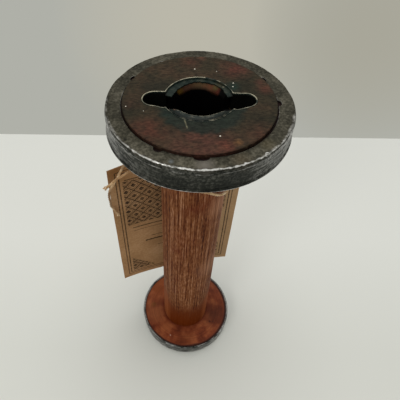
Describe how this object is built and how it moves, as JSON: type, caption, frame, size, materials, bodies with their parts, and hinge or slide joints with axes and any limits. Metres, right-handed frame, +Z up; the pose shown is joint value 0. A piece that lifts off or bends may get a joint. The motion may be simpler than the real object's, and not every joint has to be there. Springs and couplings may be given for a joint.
{
  "type": "textile mill bobbin",
  "caption": "Wooden mill bobbin with steel-shielded heads, a spindle bore, a lined drive slot and a card hang tag on twine.",
  "frame": {"origin": "centre of the foot shield's face, which the bobbin stands on", "axes": "+Z up the spindle bore from the foot to the drive head, X along the drive slot, -Y towards the viewer"},
  "size_m": [0.0834, 0.0772, 0.2048],
  "materials": {
    "barrel_wood": "bare hardwood, darkened and worn smooth by thread",
    "drive_wood": "oil-stained hardwood with grime",
    "foot_wood": "shellacked hardwood",
    "shield_steel": "tarnished pressed steel with scratches",
    "liner_metal": "worn sheet with remains of green paint",
    "bush_steel": "worn steel",
    "twine": "hairy hemp twine",
    "card": "uncoated kraft card with a printed rule pattern"
  },
  "bodies": {
    "bobbin": {"barrel": "barrel_wood", "drive_head": "drive_wood", "foot_head": "foot_wood", "drive_shield": "shield_steel", "foot_shield": "shield_steel", "drive_liner": "liner_metal", "foot_bush": "bush_steel"},
    "twine": {"twine_loop": "twine", "twine_knot": "twine", "twine_tail_short": "twine", "twine_tail_long": "twine"},
    "tag": {"tag_bight": "twine", "tag_card": "card"}
  },
  "joints": [
    {"name": "twine_turn", "type": "hinge", "parent": "bobbin", "child": "twine", "pos_m": [0, 0, 0.163], "axis": [0, 0, 1], "continuous": true},
    {"name": "tag_swing", "type": "hinge", "parent": "twine", "child": "tag", "pos_m": [-0.00741, 0.01663, 0.1595], "axis": [0.9707, 0.2402, 0], "range_deg": [0, 140]}
  ]
}
